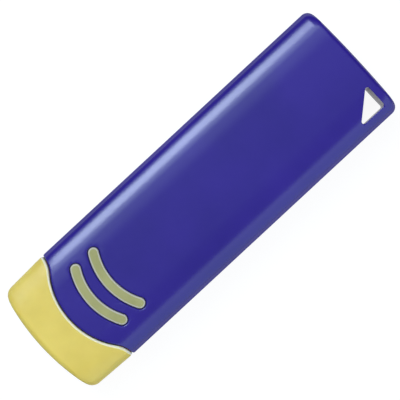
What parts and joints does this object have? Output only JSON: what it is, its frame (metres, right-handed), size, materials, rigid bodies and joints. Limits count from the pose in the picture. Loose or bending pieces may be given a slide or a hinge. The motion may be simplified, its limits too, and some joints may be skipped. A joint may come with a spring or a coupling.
{
  "type": "flat friction eraser",
  "caption": "Flat stick eraser with a split plastic case, a corner strap hole, a rubber tip moulded on a hard core, and curved rubber grip inlays.",
  "frame": {"origin": "on the surface that the eraser lies on, under the middle of its box", "axes": "+X along the length towards the strap end, +Y across the width away from the strap hole's side, +Z out of the front face"},
  "size_m": [0.07, 0.022, 0.0096],
  "materials": {
    "case_plastic": "satin moulded plastic, fine spark texture",
    "core_plastic": "plain moulded plastic",
    "tip_rubber": "matte moulded rubber",
    "grip_rubber": "matte moulded rubber"
  },
  "bodies": {
    "root": {"front_shell": "case_plastic", "rear_shell": "case_plastic", "tip_core": "core_plastic", "eraser_tip": "tip_rubber", "front_near_grip_arc": "grip_rubber", "front_far_grip_arc": "grip_rubber", "rear_near_grip_arc": "grip_rubber", "rear_far_grip_arc": "grip_rubber"}
  },
  "joints": []
}
